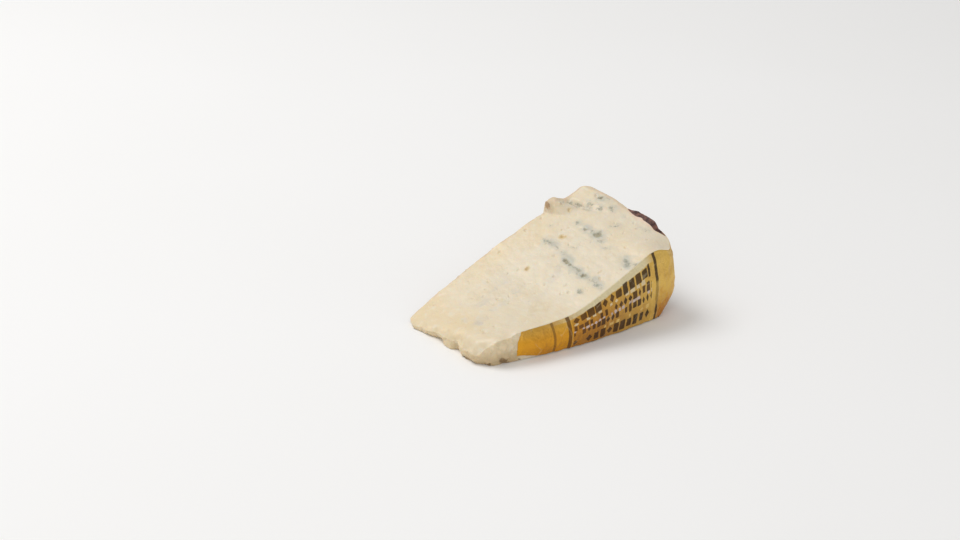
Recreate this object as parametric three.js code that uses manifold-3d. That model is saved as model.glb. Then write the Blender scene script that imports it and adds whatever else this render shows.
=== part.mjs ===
// A wedge of soft blue cheese, lying on one of its two cut faces, with the printed foil label of its wheel.
//
// The wheel it was cut from is a low drum. The wedge's two large faces are the knife's cuts: the lower one is
// flat and carries the piece, the upper one rises from the blunt tip to the wheel's outer wall, more steeply
// along its far edge than along its near one. The near side is the wheel's flat end, covered by the label.
// The far side is the wheel's other end, with bare rind.
//
// Millimetres, +Z up. While the wedge is made, x runs from the tip to the outer wall, y across from the
// labelled end of the wheel to the bare end, and z up from the lower cut. The finished group is moved so that
// the origin is under the middle of its bounding box.
import * as THREE from "three";
import { mergeVertices } from "three/addons/utils/BufferGeometryUtils.js";
import Module from "manifold-3d";

// ---- Driving dimensions ----
const LENGTH = 157; // tip to outer wall, at its widest
const WHEEL_RADIUS = 150; // of the outer wall, an arc round an axis along y
const WHEEL_HEIGHT = 86; // across the wedge, from the labelled end to the bare end
const CUT_EDGE = 1.3; // radius of the edges round the upper cut
const FOOT_EDGE = 0.8; // radius of the edges round the lower cut
const CORNERS = { tipNear: 9, tipFar: 6, wallNear: 11, wallFar: 8 }; // radii seen from above

// Height of the upper cut along its near edge, which rises gently up to a bend, and along its far edge.
const NEAR_EDGE = {
  start: 17.5,
  slope: 0.07,
  bend: 62,
  softness: 7.7,
  steeper: 0.33,
  ease: { from: 122, by: 7 }, // it levels off towards the wall
};
const FAR_EDGE = { start: 1.4, slope: 0.53, arch: 0.00085 };
const NOSE = { reach: 2.5, nearShare: 0.17, farShare: 0.8 }; // rounded tip: share of the thickness left there
const SLUMP = { x: 152, y: -2, reach: 13, by: 7 }; // the soft corner between the label and the outer wall
const CUT_SWELLS = [
  { height: 0.45, along: 17, across: 23, shift: 1.3 },
  { height: 0.25, along: 8.5, across: -12, shift: 2 },
  { height: 0.16, along: 3.9, across: 5.3, shift: 0.4 },
];
const SWELLS_START = 14; // distance from the tip at which the swells reach their full height

// The four sides: how far they bulge along their length and from bottom to top, and how the wall's foot is
// tucked in under it.
const NEAR_DOME = 7;
const NEAR_BELLY = { out: 2.4, across: 0.16, along: 0.25 }; // it fades over these shares of the two sizes
const FAR_DOME = 0.8;
const FAR_WAVES = { out: 0.5, length: 8 };
const FAR_TAPER = { by: 2.2, until: 45 }; // the far side draws in towards the tip
const WALL_DOME = 2;
const WALL_WIDEST = 17; // height at which the wall stands out most
const WALL_TUCK = { near: 9.5, far: 5, height: 18, power: 1.3 };
const WALL_STARTS = 0.84; // share of the length past which points follow the wall's lean
const TIP_NOTCHES = [
  { y: 50, reach: 4, in: 2.2 }, // where crumbs broke off
  { y: 33.5, reach: 3.2, in: 3.4 },
];
const TIP_BULGE = { y: 13, reach: 10, out: 3 };
const TIP_CRUMBS = { out: 0.5, length: 2.1 };
const RIND_LUMPS = { out: 0.5, lengths: [4.3, 3.1, 3.7, 6.2] };
const RIND_GRAIN = { out: 0.35, lengths: [1.9, 2.3, 2.7] };

// What stands out of the cut or is torn in it.
// The dark rind is thick along part of the wall's upper edge, and a torn crumb stands up on the far edge.
const RIND_LIP = { from: 16, full: 24, fading: 34, to: 46, out: 3.2, up: 1, deep: 9 };
const FLAKE = { from: 115, full: 118, fading: 119, to: 132, out: 1, up: 6, across: 5 };
const CRACK = [
  [113, 83], // it parts the flake and the far corner from the rest
  [129, 81],
  [136, 58],
];
const CRACK_WIDTH = 1.6;
const CRACK_DEPTH = 1.5;
const CRACK_ENDS = [52, 62]; // it fades out between these places across
const CORNER_RISE = { by: 1.2, within: 4, x: [110, 122], y: [45, 62] }; // the corner behind the crack
const CORNER_PEAK = { x: 148, y: 84, reach: 11, up: 2.2 }; // and its pulled-up point

const LABEL_START = 23; // the label's cut end, measured from the tip
const LABEL_WRAP = 15; // how far it goes on across the outer wall
const LABEL_BED = { before: [14, 6], after: [2, 8] }; // where the sides' relief gives way to the smooth bed
const LABEL_GAP = 0.3;
const LABEL_THICKNESS = 0.45;
const LABEL_CREASE = 0.35; // depth of the creases in its outer face
const CREASE_WAVES = [1.9, 0.8, 0.7, 1.3]; // turns per station and per row
const LABEL_FOOT = { above: 0.9, raised: 3.4, until: 40 }; // its lower edge, which is raised near the cut end
const LABEL_TOP = 0.1; // its upper edge below the rounded edge of the upper cut
const LABEL_RAGGED = 0.35; // unevenness of its torn edges

// Where mould grew along the channels that were pricked through the wheel: each row lies at one distance from
// the tip, with open pockets at these places across the wedge.
const PRICKED_ROWS = [
  { x: 90, pockets: [61, 36, 30, 19, 15] },
  { x: 118, pockets: [58, 50, 44, 38, 15, 5] },
  { x: 144, pockets: [69, 55, 37, 21] },
];
const POCKET = { along: [0.9, 1.5], across: [1.5, 3.2], deep: 1.7 };
const POCKET_WANDER = 0.8; // how far a pocket lies from its row
const POCKET_TURN = 0.45; // radians
const POCKET_LUMPS = 0.22;
const POCKET_SUNK = 0.15; // share of its depth by which its middle lies below the cut
const EYES = [
  [104.6, 57], // round openings away from the rows
  [123, 74],
  [71, 52],
  [122, 15],
  [83, 36],
  [48, 63],
  [60, 30],
  [97, 11],
  [36, 40],
];
const EYE_RADIUS = [0.8, 1.3];
const LOOSE_POCKETS = 12; // more small openings, scattered over the upper cut
const LOOSE_MARGINS = { tip: 24, wall: 12, near: 8, far: 10 };
const LOOSE_SIZE = [0.6, 1.6];
const LOOSE_DEPTH = 0.9;

// ---- Mesh density ----
const ALONG = 50; // grid cells from tip to wall
const ACROSS = 30;
const WALL_STEPS = 8; // rows of cells up the sides
const EDGE_STEPS = 2; // rows round the upper edge
const LABEL_ROWS = WALL_STEPS; // so that the skin bends where the side behind it bends

const clamp = (v, low, high) => Math.min(Math.max(v, low), high);
const lerp = (from, to, t) => from + (to - from) * t;
const smooth = (from, to, v) => {
  const t = clamp((v - from) / (to - from), 0, 1);
  return t * t * (3 - 2 * t);
};
const bump = (v, centre, reach) => Math.exp(-(((v - centre) / reach) ** 2));

// A repeatable draw between 0 and 1, number n of the stream called seed.
const draw = (n, seed) => {
  const v = Math.sin(n * 12.9898 + seed * 78.233) * 43758.5453;
  return v - Math.floor(v);
};
const drawn = ([low, high], n, seed) => lerp(low, high, draw(n, seed));

// ---- The plan ----

// The four sides' lines, seen from above: the crumbled tip, the outer wall, the labelled end, the bare end.
function tipLine(y) {
  const notches = TIP_NOTCHES.reduce((sum, notch) => sum + notch.in * bump(y, notch.y, notch.reach), 0);
  const bulge = TIP_BULGE.out * bump(y, TIP_BULGE.y, TIP_BULGE.reach);
  return notches - bulge + TIP_CRUMBS.out * (Math.sin(y / TIP_CRUMBS.length) - 2);
}
const wallLine = (y) => LENGTH - WALL_DOME * (2 * (y / WHEEL_HEIGHT) - 1) ** 2;
const nearLine = (x) => -NEAR_DOME * Math.sin(Math.PI * clamp(x / LENGTH, 0, 1));
function farLine(x) {
  const dome = FAR_DOME * Math.sin(Math.PI * clamp(x / LENGTH, 0, 1));
  const waves = FAR_WAVES.out * Math.sin(x / FAR_WAVES.length);
  return WHEEL_HEIGHT + dome + waves - FAR_TAPER.by * (1 - smooth(0, FAR_TAPER.until, x));
}

// ---- The upper cut ----

// Thickness of the wedge, so the height of the upper cut, without its relief.
function thickness(x, y) {
  const across = clamp(y / WHEEL_HEIGHT, 0, 1);
  const past = x - NEAR_EDGE.bend;
  const bent = (NEAR_EDGE.steeper * (past + Math.hypot(past, NEAR_EDGE.softness))) / 2;
  const eased = NEAR_EDGE.ease.by * smooth(NEAR_EDGE.ease.from, LENGTH, x);
  const near = NEAR_EDGE.start + NEAR_EDGE.slope * x + bent - eased;
  const far = FAR_EDGE.start + FAR_EDGE.slope * x - FAR_EDGE.arch * x * x;
  const fromTip = Math.max(x - tipLine(y), 0);
  const nose = 1 - (1 - lerp(NOSE.nearShare, NOSE.farShare, across)) * Math.exp(-fromTip / NOSE.reach);
  const slump = SLUMP.by * bump(Math.hypot(x - SLUMP.x, y - SLUMP.y), 0, SLUMP.reach);
  return lerp(near, far, across) * nose - slump;
}

// How far a point of the cut is from the crack, and how far behind it (negative on the wedge's main side).
function fromCrack(x, y) {
  let nearest = { away: Infinity, behind: 0 };
  for (let k = 0; k + 1 < CRACK.length; k++) {
    const [ax, ay] = CRACK[k];
    const [bx, by] = CRACK[k + 1];
    const length = Math.hypot(bx - ax, by - ay);
    const along = clamp(((x - ax) * (bx - ax) + (y - ay) * (by - ay)) / length ** 2, 0, 1);
    const away = Math.hypot(x - lerp(ax, bx, along), y - lerp(ay, by, along));
    const behind = ((bx - ax) * (y - ay) - (by - ay) * (x - ax)) / length;
    if (away < nearest.away) nearest = { away, behind };
  }
  return nearest;
}

// Share of a feature that swells from one place to another and then fades again.
const share = ({ from, full, fading, to }, v) => smooth(from, full, v) * (1 - smooth(fading, to, v));

// Height that the upper cut's relief adds: the knife's swells, the crack, the corner, the flake and the lip.
function cutRelief(x, y) {
  const swells = CUT_SWELLS.reduce((sum, { height, along, across, shift }) => {
    return sum + height * Math.sin(x / along + y / across + shift) * Math.cos(y / across - shift);
  }, 0);
  const crack = fromCrack(x, y);
  const groove = CRACK_DEPTH * bump(crack.away, 0, CRACK_WIDTH) * smooth(...CRACK_ENDS, y);
  const behind = smooth(0, CORNER_RISE.within, crack.behind);
  const corner = behind * smooth(...CORNER_RISE.x, x) * smooth(...CORNER_RISE.y, y);
  const peak = bump(Math.hypot(x - CORNER_PEAK.x, y - CORNER_PEAK.y), 0, CORNER_PEAK.reach);
  const flake = share(FLAKE, x) * smooth(WHEEL_HEIGHT - FLAKE.across, WHEEL_HEIGHT, y);
  const lip = share(RIND_LIP, y) * smooth(LENGTH - RIND_LIP.deep, LENGTH, x + RIND_LIP.out);
  const torn = CORNER_RISE.by * corner + CORNER_PEAK.up * peak + FLAKE.up * flake + RIND_LIP.up * lip;
  return swells * smooth(0, SWELLS_START, x) - groove + torn;
}

const topHeight = (x, y) => thickness(x, y) + cutRelief(x, y);

// ---- The sides ----

// Rounds the corners of the plan's rectangle: points in a corner's square are drawn in to its quarter disc.
function roundedPlan(a, b, inset) {
  let x = lerp(inset, LENGTH - inset, a);
  let y = lerp(inset, WHEEL_HEIGHT - inset, b);
  for (const [atWall, atFar, radius] of [
    [false, false, CORNERS.tipNear],
    [false, true, CORNERS.tipFar],
    [true, false, CORNERS.wallNear],
    [true, true, CORNERS.wallFar],
  ]) {
    const centreX = atWall ? LENGTH - radius : radius;
    const centreY = atFar ? WHEEL_HEIGHT - radius : radius;
    const dx = x - centreX;
    const dy = y - centreY;
    const inCorner = (atWall ? dx > 0 : dx < 0) && (atFar ? dy > 0 : dy < 0);
    if (!inCorner) continue;
    const squash = Math.max(Math.abs(dx), Math.abs(dy)) / Math.hypot(dx, dy);
    x = centreX + dx * squash;
    y = centreY + dy * squash;
  }
  return [x, y];
}

// A point of the wedge at height z: a and b place it in the plan, inset draws it in from the plan's edge, and
// level is the height's share of the thickness there.
function wedgePoint(a, b, inset, level, z) {
  const [px, py] = roundedPlan(a, b, inset);
  const u = px / LENGTH;
  const v = py / WHEEL_HEIGHT;
  const flake = FLAKE.out * share(FLAKE, px) * smooth(WHEEL_HEIGHT - FLAKE.across, WHEEL_HEIGHT, py);
  const bellyFade = (1 - smooth(0, NEAR_BELLY.across, v)) * smooth(0, NEAR_BELLY.along, u);
  const belly = NEAR_BELLY.out * Math.sin(Math.PI * level) * bellyFade;
  const y = lerp(nearLine(px), farLine(px), v) + flake * level ** 2 - belly;
  const tuckShare = (1 - clamp(z / WALL_TUCK.height, 0, 1)) ** WALL_TUCK.power;
  const arc = (z - WALL_WIDEST) ** 2 / (2 * WHEEL_RADIUS);
  const tuck = lerp(WALL_TUCK.near, WALL_TUCK.far, v) * tuckShare;
  const lip = RIND_LIP.out * share(RIND_LIP, y) * level ** 3;
  const x = lerp(tipLine(py), wallLine(py), u) + (lip - arc - tuck) * smooth(WALL_STARTS, 1, u);
  return new THREE.Vector3(x, y, z);
}

// Direction that points out of the side at a place of the plan's rim.
function outward(a, b, level, z) {
  return wedgePoint(a, b, 0, level, z).sub(wedgePoint(a, b, 1, level, z)).normalize();
}

// A point of the upper cut, inside the rounding of its edge. The wall leans, so its place depends on its
// height, which is first taken from where the wall stands out most.
function cutPoint(a, b) {
  const widest = wedgePoint(a, b, CUT_EDGE, 1, WALL_WIDEST);
  const p = wedgePoint(a, b, CUT_EDGE, 1, topHeight(widest.x, widest.y));
  p.z = topHeight(p.x, p.y);
  return p;
}

// The rings of points that lead from the upper cut round its edge, down the side and under the foot.
function sideRings() {
  const rings = [];
  for (let i = 1; i <= EDGE_STEPS; i++) {
    const turn = (i / EDGE_STEPS) * (Math.PI / 2);
    rings.push({ inset: CUT_EDGE * (1 - Math.sin(turn)), drop: CUT_EDGE * (1 - Math.cos(turn)), level: 1 });
  }
  for (let i = 1; i <= WALL_STEPS; i++) rings.push({ inset: 0, level: 1 - i / WALL_STEPS });
  rings.push({ inset: FOOT_EDGE, level: 0, foot: true });
  return rings;
}

// Height of a ring where the upper cut is this high. Both edges' radii shrink where the wedge is thin.
function ringHeight(ring, top) {
  const thin = Math.min(1, (0.4 * top) / CUT_EDGE);
  if (ring.foot) return 0;
  if (ring.drop !== undefined) return top - ring.drop * thin;
  return lerp(Math.min(FOOT_EDGE, 0.3 * top), top - CUT_EDGE * thin, ring.level);
}

// Rough relief of the bare end, the tip and the outer wall, pushed outwards. The label's bed stays smooth.
function sideRelief(p) {
  const [l1, l2, l3, l4] = RIND_LUMPS.lengths;
  const [g1, g2, g3] = RIND_GRAIN.lengths;
  const lumps = RIND_LUMPS.out * Math.sin(p.x / l1 + p.z / l2) * Math.sin(p.y / l3 - p.z / l4);
  const grain = RIND_GRAIN.out * Math.sin(p.x / g1 + p.y / g2 + p.z / g3);
  const [far, near] = LABEL_BED.before;
  const [starts, full] = LABEL_BED.after;
  const along = smooth(LABEL_START - far, LABEL_START - near, p.x);
  const bed = along * (1 - smooth(LABEL_WRAP + starts, LABEL_WRAP + full, p.y));
  return (lumps + grain) * (1 - bed);
}

// The loop of grid points round the plan, counter-clockwise seen from above, as [i, j].
function planLoop() {
  const loop = [];
  for (let i = 0; i < ALONG; i++) loop.push([i, 0]);
  for (let j = 0; j < ACROSS; j++) loop.push([ALONG, j]);
  for (let i = ALONG; i > 0; i--) loop.push([i, ACROSS]);
  for (let j = ACROSS; j > 0; j--) loop.push([0, j]);
  return loop;
}

// The whole wedge as one closed mesh: the upper cut's grid, the rings down the sides and the flat lower cut.
function wedgeGeometry() {
  const points = [];
  const faces = [];
  const add = (p) => points.push(p.x, p.y, p.z) / 3 - 1;

  const grid = [];
  for (let j = 0; j <= ACROSS; j++) {
    for (let i = 0; i <= ALONG; i++) grid.push(add(cutPoint(i / ALONG, j / ACROSS)));
  }
  const at = (i, j) => grid[j * (ALONG + 1) + i];
  for (let j = 0; j < ACROSS; j++) {
    for (let i = 0; i < ALONG; i++) {
      faces.push(at(i, j), at(i + 1, j), at(i + 1, j + 1), at(i, j), at(i + 1, j + 1), at(i, j + 1));
    }
  }

  const loop = planLoop();
  let above = loop.map(([i, j]) => at(i, j));
  for (const ring of sideRings()) {
    const here = loop.map(([i, j]) => {
      const [a, b] = [i / ALONG, j / ACROSS];
      const z = ringHeight(ring, cutPoint(a, b).z);
      const p = wedgePoint(a, b, ring.inset, ring.level, z);
      if (ring.inset === 0 && ring.level < 1) {
        const relief = outward(a, b, ring.level, z).multiplyScalar(sideRelief(p));
        p.add(relief);
      }
      return add(p);
    });
    here.forEach((corner, k) => {
      const next = (k + 1) % loop.length;
      faces.push(above[k], corner, here[next], above[k], here[next], above[next]);
    });
    above = here;
  }

  const foot = above.map((n) => new THREE.Vector2(points[n * 3], points[n * 3 + 1]));
  for (const [p, q, r] of THREE.ShapeUtils.triangulateShape(foot, [])) {
    faces.push(above[p], above[r], above[q]);
  }
  return new THREE.BufferGeometry()
    .setAttribute("position", new THREE.Float32BufferAttribute(points, 3))
    .setIndex(faces);
}

// ---- Pockets and eyes in the upper cut ----

// One opening: a lumpy ball, squeezed and turned, and sunk in the cut so that it breaks the surface.
function pocketGeometry(x, y, size, seed) {
  const ball = mergeVertices(stripped(new THREE.IcosahedronGeometry(1, 1)));
  const position = ball.getAttribute("position");
  for (let n = 0; n < position.count; n++) {
    const lump = 1 + POCKET_LUMPS * (draw(n, seed) - 0.5);
    position.setXYZ(n, position.getX(n) * lump, position.getY(n) * lump, position.getZ(n) * lump);
  }
  ball.scale(size.along, size.across, size.deep);
  ball.rotateZ(drawn([-POCKET_TURN, POCKET_TURN], seed, 7));
  ball.translate(x, y, topHeight(x, y) - POCKET_SUNK * size.deep);
  return ball;
}

function pocketGeometries() {
  const pockets = [];
  for (const row of PRICKED_ROWS) {
    row.pockets.forEach((y, n) => {
      const along = drawn(POCKET.along, n, 5);
      const across = drawn(POCKET.across, n, row.x);
      const x = row.x + drawn([-POCKET_WANDER, POCKET_WANDER], n, 3);
      pockets.push(pocketGeometry(x, y, { along, across, deep: POCKET.deep }, row.x + n));
    });
  }
  EYES.forEach(([x, y], n) => {
    const radius = drawn(EYE_RADIUS, n, 11);
    pockets.push(pocketGeometry(x, y, { along: radius, across: radius, deep: radius }, 200 + n));
  });
  for (let n = 0; n < LOOSE_POCKETS; n++) {
    const x = drawn([LOOSE_MARGINS.tip, LENGTH - LOOSE_MARGINS.wall], n, 21);
    const y = drawn([LOOSE_MARGINS.near, WHEEL_HEIGHT - LOOSE_MARGINS.far], n, 22);
    const size = { along: drawn(LOOSE_SIZE, n, 23), across: drawn(LOOSE_SIZE, n, 24), deep: LOOSE_DEPTH };
    pockets.push(pocketGeometry(x, y, size, 300 + n));
  }
  return pockets;
}

// ---- The label ----

// Stations along the label: from its cut end along the labelled side, round the wheel's rim and up its wall.
function labelStations() {
  const first = (LABEL_START / LENGTH) * ALONG;
  const stations = [[first / ALONG, 0]];
  for (let i = Math.ceil(first + 0.3); i < ALONG; i++) stations.push([i / ALONG, 0]);
  for (let j = 0; (j / ACROSS) * WHEEL_HEIGHT <= LABEL_WRAP; j++) stations.push([1, j / ACROSS]);
  return stations;
}

// A closed skin that follows the wedge's side at a small distance, with its outer face slightly creased.
function labelGeometry() {
  const stations = labelStations();
  const [k1, r1, k2, r2] = CREASE_WAVES;
  const points = [];
  const faces = [];
  const skins = [LABEL_GAP, LABEL_GAP + LABEL_THICKNESS].map((distance, skin) =>
    stations.map(([a, b], k) => {
      const top = cutPoint(a, b).z;
      const raised = b > 0 ? 0 : LABEL_FOOT.raised * (1 - smooth(LABEL_START, LABEL_FOOT.until, a * LENGTH));
      const low = LABEL_FOOT.above + raised + LABEL_RAGGED * draw(k, 32);
      const high = top - CUT_EDGE - LABEL_TOP - LABEL_RAGGED * draw(k, 31);
      const column = [];
      for (let r = 0; r <= LABEL_ROWS; r++) {
        const z = lerp(low, high, r / LABEL_ROWS);
        const level = clamp((z - FOOT_EDGE) / (top - CUT_EDGE - FOOT_EDGE), 0, 1);
        const fold = 0.5 + 0.5 * Math.sin(k * k1 + r * r1) * Math.cos(k * k2 - r * r2);
        const away = outward(a, b, level, z).multiplyScalar(distance + skin * LABEL_CREASE * fold);
        const p = wedgePoint(a, b, 0, level, z).add(away);
        column.push(points.push(p.x, p.y, z) / 3 - 1);
      }
      return column;
    }),
  );
  const quad = (p, q, r, s) => faces.push(p, q, r, p, r, s);
  const [inner, outer] = skins;
  const last = stations.length - 1;
  for (let k = 0; k < last; k++) {
    for (let r = 0; r < LABEL_ROWS; r++) {
      quad(outer[k][r], outer[k + 1][r], outer[k + 1][r + 1], outer[k][r + 1]);
      quad(inner[k][r], inner[k][r + 1], inner[k + 1][r + 1], inner[k + 1][r]);
    }
    quad(inner[k][0], inner[k + 1][0], outer[k + 1][0], outer[k][0]);
    quad(outer[k][LABEL_ROWS], outer[k + 1][LABEL_ROWS], inner[k + 1][LABEL_ROWS], inner[k][LABEL_ROWS]);
  }
  for (let r = 0; r < LABEL_ROWS; r++) {
    quad(inner[0][r], outer[0][r], outer[0][r + 1], inner[0][r + 1]);
    quad(outer[last][r], inner[last][r], inner[last][r + 1], outer[last][r + 1]);
  }
  return new THREE.BufferGeometry()
    .setAttribute("position", new THREE.Float32BufferAttribute(points, 3))
    .setIndex(faces);
}

// ---- Joining and cutting ----

function stripped(geometry) {
  geometry.deleteAttribute("normal");
  geometry.deleteAttribute("uv");
  return geometry;
}

const wasm = await Module();
wasm.setup();

function solidFrom(geometry) {
  const merged = mergeVertices(geometry);
  return new wasm.Manifold(
    new wasm.Mesh({
      numProp: 3,
      vertProperties: new Float32Array(merged.attributes.position.array),
      triVerts: new Uint32Array(merged.index.array),
    }),
  );
}

function geometryFrom(solid) {
  const mesh = solid.getMesh();
  return new THREE.BufferGeometry()
    .setAttribute("position", new THREE.BufferAttribute(new Float32Array(mesh.vertProperties), 3))
    .setIndex(new THREE.BufferAttribute(new Uint32Array(mesh.triVerts), 1));
}

function cheeseGeometry() {
  let cheese = solidFrom(wedgeGeometry());
  for (const pocket of pocketGeometries()) cheese = cheese.subtract(solidFrom(pocket));
  return geometryFrom(cheese);
}

// ---- The part ----

const paste = new THREE.MeshStandardMaterial({ color: 0xeadfc6, roughness: 0.55, metalness: 0 });
const foil = new THREE.MeshStandardMaterial({ color: 0xd9a93c, roughness: 0.38, metalness: 0.15 });

const wedge = new THREE.Group();
const cheese = new THREE.Mesh(cheeseGeometry(), paste);
cheese.name = "cheese";
const label = new THREE.Mesh(labelGeometry(), foil);
label.name = "label";
wedge.add(cheese, label);

const box = new THREE.Box3().setFromObject(wedge);
const middle = box.getCenter(new THREE.Vector3());
wedge.position.set(-middle.x, -middle.y, -box.min.z);

export default wedge;
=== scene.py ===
"""A wedge of soft blue cheese lying on one of its cuts, with the printed foil of its wheel on one side."""

import math

import bpy
import numpy as np
from mathutils import Matrix, Vector


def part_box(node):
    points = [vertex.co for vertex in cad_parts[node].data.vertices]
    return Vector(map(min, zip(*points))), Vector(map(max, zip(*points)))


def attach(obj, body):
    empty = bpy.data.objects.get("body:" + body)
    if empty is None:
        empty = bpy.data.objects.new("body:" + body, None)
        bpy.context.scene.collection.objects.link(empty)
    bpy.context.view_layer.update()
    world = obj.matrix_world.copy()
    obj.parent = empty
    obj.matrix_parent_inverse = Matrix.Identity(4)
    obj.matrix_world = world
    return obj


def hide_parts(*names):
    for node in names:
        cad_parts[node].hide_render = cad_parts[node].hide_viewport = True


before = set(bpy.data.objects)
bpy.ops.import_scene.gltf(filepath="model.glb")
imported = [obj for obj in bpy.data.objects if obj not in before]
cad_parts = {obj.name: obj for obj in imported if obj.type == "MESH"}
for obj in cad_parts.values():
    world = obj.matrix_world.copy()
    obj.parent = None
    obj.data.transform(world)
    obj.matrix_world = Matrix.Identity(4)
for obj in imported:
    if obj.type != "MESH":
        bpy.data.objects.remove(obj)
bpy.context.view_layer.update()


# ==== The cheese ====
# Soft, creamy paste, cut with a wire from a low drum that keeps its natural rind on its curved outer wall and
# its far end. Needles pricked the drum from end to end as it ripened, and blue mould grew in pockets along
# those channels. Crumbs have broken away along the tip.

MM = 0.001
# Sizes in millimetres, with x from the tip to the outer wall, y from the labelled end to the bare end, z up.
LENGTH = 157.0
WHEEL_RADIUS = 150.0
WHEEL_HEIGHT = 86.0
NEAR_DOME = 7.0  # how far the labelled end stands out in the middle, seen from above
FAR_DOME = 0.8
BELLY = 2.4  # how far the labelled end bulges half way up
WALL_BOW = 2.0  # how far the outer wall stands out midway between the ends
WALL_WIDEST = 17.0  # height at which it stands out most
TUCK = (9.5, 5.0)  # how far its foot is drawn in at the labelled end and at the bare end
TUCK_HEIGHT = 18.0
CUT_EDGE = 0.7  # radius of the edges round the upper cut
FOOT_EDGE = 0.8
# The plan's corners: whether each is at the wall and at the far end, and its radius.
CORNERS = ((False, False, 9.0), (False, True, 6.0), (True, False, 11.0), (True, True, 8.0))
# The cut's near edge: height at the tip, slope, where it bends up, how much and how softly. It droops at the
# wall. The far edge: height at the tip, slope, and how the slope eases.
NEAR_RISE = (17.5, 0.07, 62.0, 0.33, 7.7)
NEAR_DROOP = 7.0
FAR_RISE = (1.4, 0.53, -0.00085)
NOSE_HEIGHTS = (0.17, 0.8)  # share of its height left at the tip, at the near edge and at the far edge
NOSE_REACH = 2.5
# Swells of the upper cut: height, lengths along and across, and shift.
CUT_SWELLS = ((0.45, 17.0, 23.0, 1.3), (0.25, 8.5, -12.0, 2.0), (0.16, 3.9, 5.3, 0.4))
# Bites out of the tip, where crumbs have gone, and what bulges between them: y, reach, depth.
TIP_BITES = ((50.0, 3.4, 3.2), (42.0, 5.0, -1.0), (31.8, 2.6, 3.6), (22.5, 4.5, -1.4))
CRACK = ((113.0, 83.0), (129.0, 81.0), (136.0, 58.0))  # it parts the far corner from the rest
FAR_CORNER = (148.0, 84.0)
PEAK = (2.2, 11.0)  # height and reach of the far corner's peak
NEAR_CORNER = (152.0, -2.0)
SLUMP = (7.0, 13.0)  # depth and reach of the near corner's slump
LIP = (16.0, 24.0, 38.0, 48.0)  # thick dark rind: where it swells along the wall, and where it fades again
LIP_REACH = 2.3
FLAKE = (114.2, 115.6, 118.5, 131.0)  # torn crumb: where it swells along the far edge, and where it fades
FLAKE_HEIGHT = 6.0


def smooth(low, high, v):
    """Rises from 0 at low to 1 at high, with level ends: three times the square less twice the cube."""
    t = np.clip((v - low) / (high - low), 0.0, 1.0)
    return t * t * (3 - 2 * t)


def bump(v, centre, reach):
    """A bell: 1 at its centre, and falling with the square of the distance over its reach."""
    return np.exp(-(((v - centre) / reach) ** 2))


def share(stretch, v):
    """Swells from the first place of the stretch to the second, and fades from the third to the fourth."""
    return smooth(stretch[0], stretch[1], v) * (1 - smooth(stretch[2], stretch[3], v))


def lerp(a, b, t):
    """The value that is a share t of the way from a to b."""
    return a + (b - a) * t


def tip_line(y, bitten=0.0):
    """The crumbled tip seen from above: a bulge, small waves, and a share of the bites."""
    bites = sum(depth * bump(y, at, reach) for at, reach, depth in TIP_BITES)
    return bitten * bites - 3 * bump(y, 13, 10) + 0.5 * (np.sin(y / 2.1) - 2)


def near_line(x):
    """The labelled end seen from above: a slight dome."""
    return -NEAR_DOME * np.sin(np.pi * np.clip(x / LENGTH, 0, 1))


def far_line(x):
    """The bare end seen from above: a slight dome with waves, drawn in towards the tip."""
    dome = FAR_DOME * np.sin(np.pi * np.clip(x / LENGTH, 0, 1))
    return WHEEL_HEIGHT + dome + 0.5 * np.sin(x / 8) - 2.2 * (1 - smooth(0, 45, x))


def thickness(x, y):
    """Height of the plain upper cut: blended from the near edge, a line that bends up along a hyperbola, to
    the far edge, a parabola. It falls away to the tip's rounded nose, and slumps at the near corner."""
    across = np.clip(y / WHEEL_HEIGHT, 0, 1)
    height, slope, bend, bent_slope, softness = NEAR_RISE
    past = x - bend
    bent = bent_slope * (past + np.hypot(past, softness)) / 2
    near = height + slope * x + bent - NEAR_DROOP * smooth(122, LENGTH, x)
    height, slope, easing = FAR_RISE
    far = height + slope * x + easing * x * x
    from_tip = np.maximum(x - tip_line(y), 0)
    nose = 1 - (1 - lerp(*NOSE_HEIGHTS, across)) * np.exp(-from_tip / NOSE_REACH)
    slump = SLUMP[0] * bump(np.hypot(x - NEAR_CORNER[0], y - NEAR_CORNER[1]), 0, SLUMP[1])
    return lerp(near, far, across) * nose - slump


def from_crack(x, y):
    """How far a place is from the nearest stretch of the crack, and how far behind it."""
    away = np.full(np.shape(x), np.inf)
    behind = np.zeros(np.shape(x))
    for (ax, ay), (bx, by) in zip(CRACK, CRACK[1:]):
        length = math.hypot(bx - ax, by - ay)
        along = np.clip(((x - ax) * (bx - ax) + (y - ay) * (by - ay)) / length**2, 0, 1)
        here = np.hypot(x - lerp(ax, bx, along), y - lerp(ay, by, along))
        side = ((bx - ax) * (y - ay) - (by - ay) * (x - ax)) / length
        behind = np.where(here < away, side, behind)
        away = np.minimum(here, away)
    return away, behind


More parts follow.
